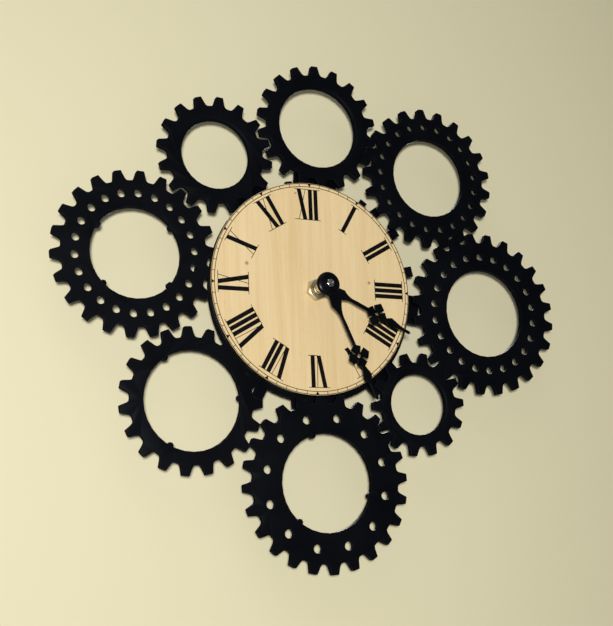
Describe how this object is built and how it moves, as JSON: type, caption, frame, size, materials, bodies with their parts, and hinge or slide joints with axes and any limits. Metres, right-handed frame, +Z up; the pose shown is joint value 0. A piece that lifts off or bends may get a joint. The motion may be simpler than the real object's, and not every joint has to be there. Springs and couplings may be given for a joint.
{
  "type": "wall clock",
  "caption": "Wall clock with a pale wooden dial, Roman numerals and ornate black hands, set in a ring of black gear-shaped wooden plates, with a battery movement behind.",
  "frame": {"origin": "the point on the hand axis that lies on the back face of the movement, which rests on the wall", "axes": "+X to the right seen from the front, +Y into the wall, +Z up"},
  "size_m": [0.4011, 0.0557, 0.3776],
  "materials": {
    "black_paint_wood": "satin black paint on birch plywood",
    "pale_wood": "clear satin on pale wood",
    "plywood": "raw plywood",
    "steel": "plated",
    "rubber": "matt",
    "brass": "machined",
    "black_plastic": "moulded",
    "white_plastic": "moulded",
    "board": "lacquered board",
    "battery_wrap": "plain printed wrap",
    "black_paint_metal": "gloss black paint"
  },
  "bodies": {
    "clock_frame": {"gear_left": "black_paint_wood", "gear_upper_left": "black_paint_wood", "gear_top": "black_paint_wood", "gear_upper_right": "black_paint_wood", "gear_right": "black_paint_wood", "gear_lower_right": "black_paint_wood", "gear_bottom": "black_paint_wood", "gear_lower_left": "black_paint_wood", "dial_disc": "pale_wood", "spacer_disc": "plywood", "backing_plate": "black_paint_wood", "hanger_plate": "steel", "rubber_gasket": "rubber", "dial_washer": "brass", "fixing_nut": "brass", "centre_post": "brass", "movement_case": "black_plastic", "back_cover": "black_plastic", "cover_screws": "steel", "battery_cell": "battery_wrap", "contact_plus": "steel", "contact_minus": "steel", "circuit_board": "board", "quartz_crystal": "steel", "drive_unit": "white_plastic", "motion_stud": "steel"},
    "minute_set": {"minute_arbor": "brass", "minute_hand": "black_paint_metal", "minute_boss": "black_paint_metal", "minute_nut": "steel"},
    "hour_set": {"hour_wheel": "brass", "hour_hand": "black_paint_metal", "hour_collet": "brass"},
    "motion_set": {"motion_wheel": "white_plastic"},
    "knob_set": {"setting_knob": "white_plastic"},
    "drive_set": {"drive_pinion": "white_plastic"}
  },
  "joints": [
    {"name": "minute_turn", "type": "hinge", "parent": "clock_frame", "child": "minute_set", "pos_m": [0, 0, 0], "axis": [0, 1, 0], "continuous": true},
    {"name": "hour_turn", "type": "hinge", "parent": "clock_frame", "child": "hour_set", "pos_m": [0, 0, 0], "axis": [0, 1, 0], "continuous": true},
    {"name": "motion_turn", "type": "hinge", "parent": "clock_frame", "child": "motion_set", "pos_m": [0, 0, 0.01006], "axis": [0, 1, 0], "continuous": true},
    {"name": "knob_turn", "type": "hinge", "parent": "clock_frame", "child": "knob_set", "pos_m": [-0.00871, 0, 0.01509], "axis": [0, 1, 0], "continuous": true},
    {"name": "drive_turn", "type": "hinge", "parent": "clock_frame", "child": "drive_set", "pos_m": [0.00871, 0, 0.01509], "axis": [0, 1, 0], "continuous": true}
  ],
  "couplings": [
    {"joint": "hour_turn", "follows": "minute_turn", "ratio": 0.083333},
    {"joint": "motion_turn", "follows": "minute_turn", "ratio": -0.33333},
    {"joint": "knob_turn", "follows": "minute_turn", "ratio": 1},
    {"joint": "drive_turn", "follows": "minute_turn", "ratio": 1}
  ]
}
